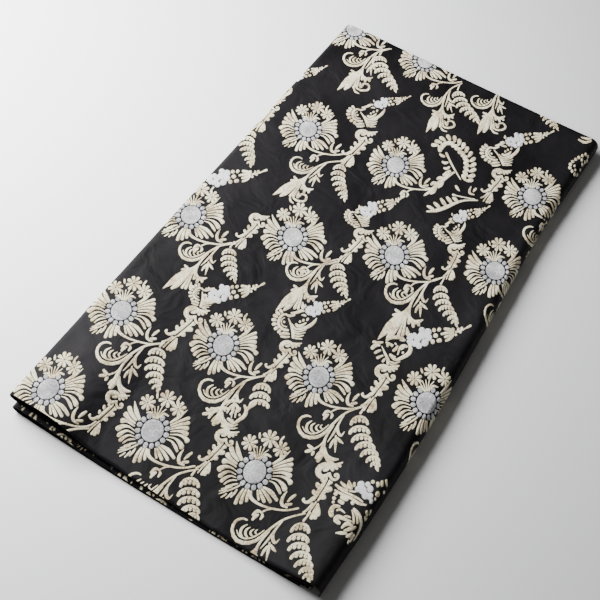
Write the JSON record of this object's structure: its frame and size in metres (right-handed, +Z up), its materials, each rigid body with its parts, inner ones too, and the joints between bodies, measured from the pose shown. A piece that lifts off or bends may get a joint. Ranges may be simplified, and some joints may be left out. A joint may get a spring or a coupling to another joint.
{
  "type": "folded silk brocade fabric",
  "caption": "Length of dark silk brocade with woven gold and silver flowers, folded in four across its width and laid flat, face up.",
  "frame": {"origin": "on the surface, under the middle of the folded packet", "axes": "+X across the packet, from the fold noses to the rolled side; +Y along the cut length, away from the front cut edge; +Z up, out of the face of the top layer"},
  "size_m": [0.2822, 0.5074, 0.0244],
  "materials": {
    "brocade": "dark charcoal silk ground, satin weave with a soft sheen",
    "gold_thread": "pale gold metal-wrapped weft, soft satin lustre",
    "silver_thread": "silver metal-wrapped weft, mottled lustre"
  },
  "bodies": {
    "root": {"brocade_cloth": "brocade"}
  },
  "joints": []
}
